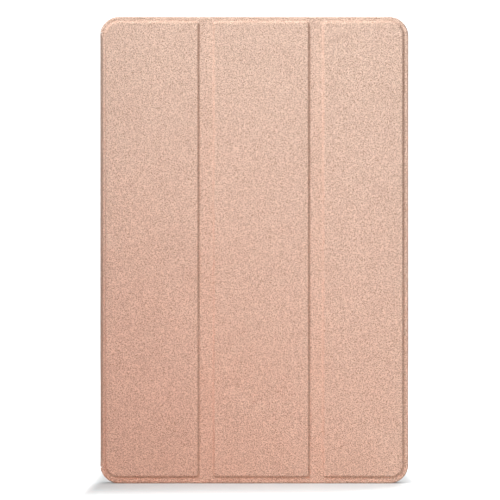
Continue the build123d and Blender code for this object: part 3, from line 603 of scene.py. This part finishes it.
def cover_sheet(name, x0, x1):
    """One stretch of the flap's leather, embossed over the boards and turned over at its edges."""
    x, z = cover_grid(x0, x1)
    depth = edge_depth(x, z)
    inside = field_depth(x, z)
    lift = RISE * smooth(inside / SLOPE_W)
    waves = waviness(x, z) * smooth((depth - ROLL) / WAVES_FADE)
    front = BASE_FRONT - lift + rolled(depth, ROLL) + waves
    front = np.maximum(front, COVER_FRONT)
    turned = depth < LINING_INSET
    back = np.where(turned, LINING_BACK - rolled(depth, ROLL), np.minimum(front + SKIN_T, LINING_FRONT))
    # pressing and painted shade: strongest in the middle of each embossed slope, and half as strong on the
    # rolled edge
    press_and_shade = np.clip(1 - np.abs(inside / SLOPE_W - 0.5) * 2, 0, 1)
    press_and_shade = np.maximum(press_and_shade, EDGE_PRESS_AND_SHADE * np.clip(1 - depth / ROLL, 0, 1))
    return closed_sheet(name, grid(x, front, z), grid(x, back, z), LEATHER, press_and_shade)


CLOTH_ROLL = 0.22 * MM
CLOTH_EDGE = np.array([0, 0.05, 0.12, 0.22]) * MM  # steps over the lining's rounded edge
CLOTH_START = 1.6 * MM  # from the first panel's leather to its lining
CLOTH_FINE, CLOTH_PITCH = 0.9 * MM, 5 * MM  # between columns, beside an outer edge and elsewhere
CLOTH_ROW_FINE, CLOTH_ROW_PITCH = 0.8 * MM, 6 * MM


def lining_sheet(name, x0, x1):
    """One stretch of the flap's lining, with a slightly rounded edge."""
    left, right = LEFT + LINING_INSET, RIGHT - LINING_INSET
    if x0 == HINGE_EDGE:
        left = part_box("panel_1_skin")[0].x + CLOTH_START
    z_low, z_high = BOTTOM + LINING_INSET, TOP - LINING_INSET
    corner = FOLIO_CORNER - LINING_INSET
    half_height = (z_high - z_low) / 2
    inner_up = spaced([(CLOTH_FINE, CLOTH_ROW_FINE), (CORNER_RUN, CLOTH_ROW_PITCH), (half_height, 0)])
    up = np.concatenate([CLOTH_EDGE, inner_up])
    rows = np.concatenate([z_low + up, (z_high - up)[::-1][1:]])
    if x1 == RIGHT:
        inner = spaced([(x0, CLOTH_PITCH), (right - CORNER_RUN, CLOTH_FINE), (right - CLOTH_FINE, 0)])
        columns = np.concatenate([inner, (right - CLOTH_EDGE)[::-1]])
        x = squeeze(columns, right, rows, -1, corner, z_low, z_high)
    elif x0 == HINGE_EDGE:
        inner = spaced([(left + CLOTH_FINE, CLOTH_FINE), (left + CORNER_RUN, CLOTH_PITCH), (x1, 0)])
        columns = np.concatenate([left + CLOTH_EDGE, inner])
        x = squeeze(columns, left, rows, 1, corner, z_low, z_high)
    else:
        columns = spaced([(x0, CREASE_PITCH if x1 - x0 < CREASE_WIDEST else CLOTH_PITCH), (x1, 0)])
        x = np.tile(columns, (len(rows), 1))
    z = np.tile(rows[:, None], (1, len(columns)))
    depth = rounded_box(x, z, left, right, z_low, z_high, corner, corner)
    back = LINING_BACK - rolled(np.maximum(depth, 0), CLOTH_ROLL)
    return closed_sheet(name, grid(x, LINING_FRONT, z), grid(x, back, z), MICROFIBRE)


FLAP_BODIES = ["panel_1", None, "panel_2", None, "panel_3"]
for index, body in enumerate(FLAP_BODIES):
    x0, x1 = CUTS[index], CUTS[index + 1]
    if body:
        skin = cover_sheet(f"{body}_leather", x0, x1)
        cloth = lining_sheet(f"{body}_cloth", x0, x1)
        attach(skin, body)
        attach(cloth, body)
        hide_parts(f"{body}_skin")
        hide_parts(f"{body}_lining")
    else:
        number = (index + 1) // 2
        skin = cover_sheet(f"crease_{number}_leather", x0, x1)
        cloth = lining_sheet(f"crease_{number}_cloth", x0, x1)
        for piece in (skin, cloth):
            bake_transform(piece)

# ------------------------------------------------------------------ spine strip and its two hinge pieces
CURVE_FRONT = 4.8 * MM
CURVE_BACK = 2.6 * MM
SPINE_FLAT = (BASE_FRONT + CURVE_FRONT, BACK_FACE - CURVE_BACK)
END_STEPS = np.array(ROLL_STEPS) * (SPINE_SKIN_T / 2 / ROLL)
END_ROUND, END_RUN = 0.6 * MM, 6 * MM  # from a strip's end to its inner rows, and to its wide ones
STRIP_PITCH = 0.8 * MM


def spine_rows():
    """Heights of the spine strip's rows, close together near its ends."""
    inner = spaced([(SPINE_BOTTOM + END_ROUND, 0.5 * MM), (SPINE_BOTTOM + END_RUN, 3 * MM),
                    (SPINE_TOP - END_RUN, 0.5 * MM), (SPINE_TOP - END_ROUND, 0)])
    return np.concatenate([SPINE_BOTTOM + END_STEPS, inner, (SPINE_TOP - END_STEPS)[::-1]])


def swept_strip(name, line_at, thickness, rows, material):
    """A closed strip: a line in the XY plane drawn along Z, with thickness on its inner side.
    line_at(z) gives the line's points and their outward normals at a height."""
    ends = np.minimum(rows - rows[0], rows[-1] - rows)
    fall = rolled(ends, thickness / 2)
    count = len(line_at(rows[0])[0])
    outer = np.zeros((len(rows), count, 3))
    inner = np.zeros((len(rows), count, 3))
    for r, z in enumerate(rows):
        for c, (point, normal) in enumerate(zip(*line_at(z))):
            for sheet, depth in ((outer, fall[r]), (inner, thickness - fall[r])):
                sheet[r, c] = (point[0] - normal[0] * depth, point[1] - normal[1] * depth, z)
    return closed_sheet(name, outer, inner, material)


def quarter(centre, ax, ay, start, end):
    """Points and outward normals along a stretch of an ellipse, by angle in degrees."""
    steps = 12
    points, normals = [], []
    for k in range(steps + 1):
        a = math.radians(start + (end - start) * k / steps)
        points.append((centre[0] + ax * math.cos(a), centre[1] + ay * math.sin(a)))
        n = Vector((math.cos(a) / ax, math.sin(a) / ay)).normalized()
        normals.append((n.x, n.y))
    return points, normals


DROP, MORE_DROP = 1.0, 3.0  # millimetres of the curve's handle at the spine, and what the strip's ends add
RUN, MORE_RUN = 0.3, 1.3  # the same for its handle at the flap
SQUARE_END, SQUARE_FADE = 0.5 * MM, 5 * MM  # squarest up to this far from an end, and fading over this
CURVE_POINTS = 19


def front_line(z):
    """The leather's fall from the flap's edge back to the spine: steep, and squarer near the strip's ends."""
    end = min(z - SPINE_BOTTOM, SPINE_TOP - z)
    square = float(1 - smooth((end - SQUARE_END) / SQUARE_FADE))
    drop = (DROP + MORE_DROP * square) * MM
    run = (RUN + MORE_RUN * square) * MM
    handles = np.array([(LEFT, SPINE_FLAT[0]), (LEFT, SPINE_FLAT[0] - drop),
                        (HINGE_EDGE - run, BASE_FRONT), (HINGE_EDGE, BASE_FRONT)])
    points, normals = [], []
    for u in np.linspace(0, 1, CURVE_POINTS):
        weights = np.array([(1 - u)**3, 3 * (1 - u)**2 * u, 3 * (1 - u) * u**2, u**3])
        pull = np.array([(1 - u)**2, 2 * (1 - u) * u, u**2])
        run_x, run_y = pull @ np.diff(handles, axis=0)
        n = Vector((run_y, -run_x)).normalized()
        points.append(tuple(weights @ handles))
        normals.append((n.x, n.y))
    return points, normals


rows_z = spine_rows()
back_path = quarter((HINGE_EDGE, SPINE_FLAT[1]), HINGE_RUN, CURVE_BACK, 180, 90)


def flat_path(x, y0, y1, outward):
    """Points and outward normals along a straight stretch of a strip at x."""
    along = spaced([(y0, STRIP_PITCH), (y1, 0)])
    return [(x, y) for y in along], [(outward, 0)] * len(along)


spine_path = flat_path(LEFT, *SPINE_FLAT, -1)

front_hinge = swept_strip("front_hinge_leather", front_line, SPINE_SKIN_T, rows_z, LEATHER)
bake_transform(front_hinge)
back_hinge = swept_strip("back_hinge_leather", lambda z: back_path, SPINE_SKIN_T, rows_z, LEATHER)
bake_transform(back_hinge)
spine_leather = swept_strip("spine_leather", lambda z: spine_path, SPINE_SKIN_T, rows_z, LEATHER)
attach(spine_leather, "spine")
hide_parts("spine_skin")

CLOTH_END = 1 * MM
cloth_low, cloth_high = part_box("spine_lining")
cloth_path = flat_path(cloth_high.x, cloth_low.y, cloth_high.y, 1)
inner_rows = spaced([(cloth_low.z + CLOTH_END, CLOTH_ROW_PITCH), (cloth_high.z - CLOTH_END, 0)])
cloth_rows = np.concatenate([cloth_low.z + END_STEPS, inner_rows, (cloth_high.z - END_STEPS)[::-1]])
spine_cloth = swept_strip("spine_cloth", lambda z: cloth_path, cloth_high.x - cloth_low.x,
                          cloth_rows, MICROFIBRE)
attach(spine_cloth, "spine")
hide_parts("spine_lining")

# ------------------------------------------------------------------ leather on the back
def middle(node_name):
    """x and z of the middle of a CAD node's box."""
    low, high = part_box(node_name)
    return (low.x + high.x) / 2, (low.z + high.z) / 2


back_low, back_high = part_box("back_skin")
WINDOW_MARGIN = 0.4 * MM  # the leather's window is this much larger than the shell's
LENS_REACH, LAMP_REACH = 8.5 * MM, 5.5 * MM  # from the lens and the lamp to the shell's window
WINDOW_R = 8.4 * MM
WINDOW_ROLL = 0.3 * MM
BACK_ROLL = 0.4 * MM
lens_x, lens_z = middle("camera_ring")
lamp_z = middle("flash_lamp")[1]
WINDOW = (lens_x - LENS_REACH - WINDOW_MARGIN, lens_x + LENS_REACH + WINDOW_MARGIN,
          lamp_z - LAMP_REACH - WINDOW_MARGIN, lens_z + LENS_REACH + WINDOW_MARGIN)
WINDOW_PITCH, BESIDE_PITCH, WIDE_PITCH = 0.5 * MM, 0.8 * MM, 3 * MM
NEAR_WINDOW = 1.2 * MM
BACK_EDGE = 1.0 * MM  # from the sheet's edge to its first even row, and to where its unevenness starts
BACK_FADE = 2 * MM
BACK_WAVES = 0.5  # its unevenness, beside the flap's
BACK_STEPS = np.array([0, 0.03, 0.1, 0.22, 0.4]) * MM  # steps over its rolled edge


def back_steps(low, high, window_low, window_high):
    """Grid lines between two edges of the back: close together at both edges and over the window."""
    inner = spaced([(low + BACK_EDGE, BACK_EDGE), (low + CORNER_RUN, WIDE_PITCH),
                    (window_low - NEAR_WINDOW, WINDOW_PITCH),
                    (window_high + NEAR_WINDOW, BESIDE_PITCH), (high - BACK_EDGE, 0)])
    return np.concatenate([low + BACK_STEPS, inner, (high - BACK_STEPS)[::-1]])


def back_grid():
    """x and z of every point of the back's leather, following its rounded corners and the spine's edge."""
    columns = back_steps(back_low.x, back_high.x, *WINDOW[:2])
    rows = with_spine_rows(back_steps(back_low.z, back_high.z, *WINDOW[2:]))
    left_share = np.clip(1 - (columns - back_low.x) / CORNER_RUN, 0, 1)
    right_share = np.clip(1 - (back_high.x - columns) / CORNER_RUN, 0, 1)
    x = np.tile(columns, (len(rows), 1))
    for r, z in enumerate(rows):
        shift = float(outline_x(z, 0.0, 1, FOLIO_CORNER, back_low.z, back_high.z))
        left_shift = max(shift, HINGE_EDGE - back_low.x) if by_spine(z) else shift
        x[r] += left_shift * left_share
        x[r] -= shift * right_share
    return x, np.tile(rows[:, None], (1, len(columns)))


def to_window(x, z):
    """The grid with the points beside the camera window drawn onto its outline.
    It also gives how far inside the window each point is."""
    inside = rounded_box(x, z, *WINDOW, WINDOW_R, WINDOW_R)
    step = 0.01 * MM
    slope_x = (rounded_box(x + step, z, *WINDOW, WINDOW_R, WINDOW_R) - inside) / step
    slope_z = (rounded_box(x, z + step, *WINDOW, WINDOW_R, WINDOW_R) - inside) / step
    close = np.abs(inside) < WINDOW_PITCH * 0.5
    return (np.where(close, x - slope_x * inside, x), np.where(close, z - slope_z * inside, z),
            np.where(close, 0, inside))


def back_leather():
    """The sheet on the folio's back, with its camera window."""
    x, z, inside = to_window(*back_grid())
    edge = rounded_box(x, z, back_low.x, back_high.x, back_low.z, back_high.z, FOLIO_CORNER, FOLIO_CORNER)
    # beside the spine the sheet isn't rolled over, because it passes into its hinge piece
    edge = np.where(by_spine(z) & (x < 0), np.minimum(z - back_low.z, back_high.z - z), edge)
    fall = rolled(np.clip(edge, 0, 1), BACK_ROLL) + rolled(np.clip(-inside, 0, 1), WINDOW_ROLL)
    waves = BACK_WAVES * np.abs(waviness(x, z)) * smooth((edge - BACK_EDGE) / BACK_FADE)
    front = grid(x, back_high.y - fall - waves, z).reshape(-1, 3)
    rear = grid(x, back_low.y, z).reshape(-1, 3)
    rows, cols = x.shape
    count = x.size
    faces = []
    for r in range(rows - 1):
        for c in range(cols - 1):
            a = r * cols + c
            corners = (a, a + cols, a + cols + 1, a + 1)
            in_window = np.mean([inside.ravel()[k] for k in corners]) > 0.02 * WINDOW_PITCH
            if not in_window:
                faces.append(corners)
                faces.append(tuple(k + count for k in reversed(corners)))
    mesh = bpy.data.meshes.new("back_leather")
    mesh.from_pydata(np.concatenate([front, rear]).tolist(), [], faces)
    wall_up(mesh, count)
    keep_rest(mesh)
    return new_piece(mesh, "back_leather", LEATHER)


def wall_up(mesh, count):
    """Join the open edges of a front face to those of a rear one, whose points come count later."""
    work = bmesh.new()
    work.from_mesh(mesh)
    work.verts.ensure_lookup_table()
    for border in [edge for edge in work.edges if len(edge.link_faces) == 1]:
        a, b = (point.index for point in border.verts)
        if a < count and b < count:
            work.faces.new([work.verts[k] for k in (a, b, b + count, a + count)])
    loose = [point for point in work.verts if not point.link_faces]
    bmesh.ops.delete(work, geom=loose, context="VERTS")
    bmesh.ops.recalc_face_normals(work, faces=work.faces)
    work.to_mesh(mesh)
    work.free()


back_sheet = back_leather()
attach(back_sheet, "tablet")
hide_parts("back_skin")

# ------------------------------------------------------------------ glass, black print and camera dot
def rounded_loop(x0, x1, z0, z1, radius, inset, y):
    """Points round a rounded rectangle, drawn in by inset, at depth y."""
    r = max(radius - inset, 0.05 * MM)
    steps = 15
    loop = []
    for cx, cz, start in ((x1 - inset - r, z1 - inset - r, 0), (x0 + inset + r, z1 - inset - r, 90),
                          (x0 + inset + r, z0 + inset + r, 180), (x1 - inset - r, z0 + inset + r, 270)):
        for k in range(steps + 1):
            a = math.radians(start + 90 * k / steps)
            loop.append((cx + r * math.cos(a), y, cz + r * math.sin(a)))
    return loop


def stacked(name, loops, material, ring=False):
    """A closed solid through a stack of loops with equal point counts.
    A ring joins its last loop to its first."""
    count = len(loops[0])
    faces = []
    for level in range(len(loops) if ring else len(loops) - 1):
        upper = (level + 1) % len(loops) * count
        for k in range(count):
            k2 = (k + 1) % count
            faces.append((level * count + k, level * count + k2, upper + k2, upper + k))
    if not ring:
        faces.append(tuple(range(count)))
        faces.append(tuple(range((len(loops) - 1) * count, len(loops) * count))[::-1])
    mesh = bpy.data.meshes.new(name)
    mesh.from_pydata([point for loop in loops for point in loop], [], faces)
    return new_piece(mesh, name, material)


glass_low, glass_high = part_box("cover_glass")
GLASS = (glass_low.x, glass_high.x, glass_low.z, glass_high.z)
GLASS_CORNER = 8.1 * MM
GLASS_EDGE = 0.35 * MM
PRINT_Y = glass_high.y - 0.04 * MM  # front of the print on the glass's back
glass_loops = []
for angle in np.linspace(0, math.pi / 2, 5):
    glass_loops.append(rounded_loop(*GLASS, GLASS_CORNER, GLASS_EDGE * (1 - math.sin(angle)),
                                    glass_low.y + GLASS_EDGE * (1 - math.cos(angle))))
glass_loops.append(rounded_loop(*GLASS, GLASS_CORNER, 0, PRINT_Y - 0.01 * MM))
screen_glass = stacked("screen_glass", glass_loops, CAD_FINISH["front_glass"])
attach(screen_glass, "tablet")
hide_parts("cover_glass")

panel_low, panel_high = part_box("display_panel")
LIT_IN_X, LIT_IN_Z = 2 * MM, 1.05 * MM  # from the display's edges to the part that lights up
LIT = (panel_low.x + LIT_IN_X, panel_high.x - LIT_IN_X, panel_low.z + LIT_IN_Z, panel_high.z - LIT_IN_Z)
LIT_CORNER = 3 * MM
PRINT_INSET = 0.05 * MM
INK = moulded("black_print", (0.008, 0.008, 0.009), 0.35, grain=2500, depth=0.005, specular=0.0)
bezel_print = stacked("bezel_print", [
    rounded_loop(*GLASS, GLASS_CORNER, PRINT_INSET, PRINT_Y), rounded_loop(*LIT, LIT_CORNER, 0, PRINT_Y),
    rounded_loop(*LIT, LIT_CORNER, 0, glass_high.y),
    rounded_loop(*GLASS, GLASS_CORNER, PRINT_INSET, glass_high.y)], INK, ring=True)
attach(bezel_print, "tablet")

DOT_R = 1.5 * MM
# how far each loop of the dot is drawn in, as a share of its radius, and its depth behind the print's front
DOT_LOOPS = ((0.55, 0.012 * MM), (0.5, -0.004 * MM), (0, -0.004 * MM), (0, 0.02 * MM))
dot_x, dot_z = middle("front_camera")
dot = (dot_x - DOT_R, dot_x + DOT_R, dot_z - DOT_R, dot_z + DOT_R)
camera_dot = stacked(
    "camera_dot", [rounded_loop(*dot, DOT_R, share * DOT_R, PRINT_Y + depth) for share, depth in DOT_LOOPS],
    moulded("camera_dark", (0.012, 0.014, 0.030), 0.15, grain=3000, depth=0.002))
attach(camera_dot, "tablet")

# ------------------------------------------------------------------ camera
VIEW_WIDTH = 276.2 * MM  # what the picture's width takes in at the cover's face
VIEW_MIDDLE = (-2.30 * MM, 129.03 * MM)
LENS = 200.0
SENSOR = 36.0

camera_data = bpy.data.cameras.new("camera")
camera_data.lens = LENS
camera_data.sensor_width = SENSOR
camera_data.clip_start = 0.01
camera_data.clip_end = 30
camera = bpy.data.objects.new("camera", camera_data)
camera.location = (VIEW_MIDDLE[0], COVER_FRONT - VIEW_WIDTH * LENS / SENSOR, VIEW_MIDDLE[1])
camera.rotation_euler = (math.radians(90), 0, 0)
bpy.context.scene.collection.objects.link(camera)
bpy.context.scene.camera = camera

# ------------------------------------------------------------------ world
WORLD_LIGHT = 0.25
SEEN_LIGHT = 1.05  # added where the camera sees the world itself, so that it is white there
FLAG = (0.12, 0.75)  # share of the world's light left to the left and the right of the object, as if dark boards stood there
FLAG_FADE = (0.3, 0.65)  # how far to a side the world's light starts to darken, and where it is darkest
world = bpy.data.worlds.new("studio")
world.use_nodes = True
bpy.context.scene.world = world
background = world.node_tree.nodes["Background"]
background.inputs["Color"].default_value = (1, 1, 1, 1)
sky = Tree(world.node_tree)
towards = sky.node("ShaderNodeSeparateXYZ")
sky.link(sky.node("ShaderNodeTexCoord").outputs["Generated"], towards.inputs[0])
left_flag = sky.fit(towards.outputs[0], -FLAG_FADE[1], -FLAG_FADE[0], WORLD_LIGHT * FLAG[0], WORLD_LIGHT)
right_flag = sky.fit(towards.outputs[0], *FLAG_FADE, 1.0, FLAG[1])
seen = sky.node("ShaderNodeLightPath").outputs["Is Camera Ray"]
flags = sky.maths("MULTIPLY", left_flag, right_flag)
sky.link(sky.maths("ADD", flags, sky.maths("MULTIPLY", seen, SEEN_LIGHT)), background.inputs["Strength"])

# ------------------------------------------------------------------ floor
FLOOR_HALF = 6.0
FLOOR_DROP = 0.02 * MM
FLOOR_SEEN = (0.71, 0.75, 0.765)  # colour to the camera
FLOOR_CAST = (0.54, 0.50, 0.47)  # colour that the floor throws back onto the object
GLOW_SIDE = RIGHT - 3 * MM  # the glow starts here to the side, and level with the faces in front and behind
GLOW_STEEP = 9.0  # it grows this many times faster to the side
GLOW_REACH, GLOW_TOP = 106 * MM, 1.18
GLOW_SCALE, GLOW_LEAST = 0.75, 0.04


def floor_white(name):
    """A white floor that glows for the camera, and glows least near the object, so that a painted contact
    shadow deepens its real shadow there.
    """
    material, tree, shader = nodes_of(name)
    t = Tree(tree)
    shader.inputs["Roughness"].default_value = 0.7
    shader.inputs["Specular IOR Level"].default_value = 0.15
    shader.inputs["Emission Color"].default_value = (1, 1, 1, 1)
    place = t.node("ShaderNodeSeparateXYZ")
    t.link(t.place(), place.inputs[0])
    beside = t.maths("SUBTRACT", t.maths("ABSOLUTE", place.outputs[0], 0.0), GLOW_SIDE)
    before = t.maths("SUBTRACT", t.maths("ABSOLUTE", place.outputs[1], 0.0), BACK_FACE)
    away = t.maths("MAXIMUM", t.maths("MULTIPLY", beside, GLOW_STEEP), before)
    # painted shadow: the glow grows with the distance from the object's footprint
    near = t.fit(away, 0.0, GLOW_REACH, 0.0, GLOW_TOP)
    glow = t.maths("ADD", t.maths("MULTIPLY", t.maths("MULTIPLY", near, near), GLOW_SCALE), GLOW_LEAST)
    to_camera = t.node("ShaderNodeLightPath").outputs["Is Camera Ray"]
    t.link(t.mix(to_camera, FLOOR_CAST, FLOOR_SEEN), shader.inputs["Base Color"])
    t.link(t.maths("MULTIPLY", glow, to_camera), shader.inputs["Emission Strength"])
    return material


floor_mesh = bpy.data.meshes.new("floor")
floor_mesh.from_pydata([(-FLOOR_HALF, -FLOOR_HALF, 0), (FLOOR_HALF, -FLOOR_HALF, 0),
                        (FLOOR_HALF, FLOOR_HALF, 0), (-FLOOR_HALF, FLOOR_HALF, 0)], [], [(0, 1, 2, 3)])
floor_mesh.materials.append(floor_white("floor_white"))
floor = link(floor_mesh, "floor")
floor.location.z = BOTTOM - FLOOR_DROP

# ------------------------------------------------------------------ lights
def aimed_light(name, kind, place, target, watts):
    """A light of a kind at a place, pointing at a target."""
    data = bpy.data.lights.new(name, kind)
    data.energy = watts
    lamp = bpy.data.objects.new(name, data)
    lamp.location = place
    lamp.rotation_euler = (Vector(target) - Vector(place)).to_track_quat("-Z", "Y").to_euler()
    bpy.context.scene.collection.objects.link(lamp)
    return lamp


def soft_light(name, place, target, size, watts):
    """A rectangular light that the camera doesn't see."""
    lamp = aimed_light(name, "AREA", place, target, watts)
    lamp.data.shape = "RECTANGLE"
    lamp.data.size, lamp.data.size_y = size
    lamp.visible_camera = False


def spot_light(name, place, target, cone, watts):
    """A spot light with a soft edge. Its cone is in degrees."""
    lamp = aimed_light(name, "SPOT", place, target, watts)
    lamp.data.spot_size = math.radians(cone)
    lamp.data.spot_blend = 1.0
    lamp.data.shadow_soft_size = SPOT_RADIUS
    return lamp


MIDDLE = (0, 0, (TOP + BOTTOM) / 2)
SPOT_RADIUS = 0.16
KEY, SHEEN, WARM, REAR, OVERHEAD = 176.0, 1.75, 26.0, 16.0, 1.5  # watts
WARM_COLOUR = (1.0, 0.25, 0.10)
spot_light("key", (-1.20, -1.00, 1.37), (0.13, 0, 0.27), 24, KEY)
warm = spot_light("warm", (-0.50, -0.95, 0.30), (-0.05, 0, 0.0), 17, WARM)
warm.data.color = WARM_COLOUR
# the warm spot only reaches the leather, so the glass shows no glow from it
lit_leather = bpy.data.collections.new("lit_leather")
for piece in list(bpy.context.scene.objects):
    if piece.type == "MESH" and LEATHER.name in piece.data.materials:
        lit_leather.objects.link(piece)
warm.light_linking.receiver_collection = lit_leather
soft_light("sheen", (0.30, -0.62, 0.48), MIDDLE, (0.30, 0.30), SHEEN)
soft_light("overhead", (0.0, -0.10, 0.95), (0, -0.01, 0.2), (0.5, 0.10), OVERHEAD)
soft_light("rear", (0.5, 1.1, 0.8), MIDDLE, (0.8, 0.8), REAR)

bpy.context.scene.view_settings.view_transform = "Standard"
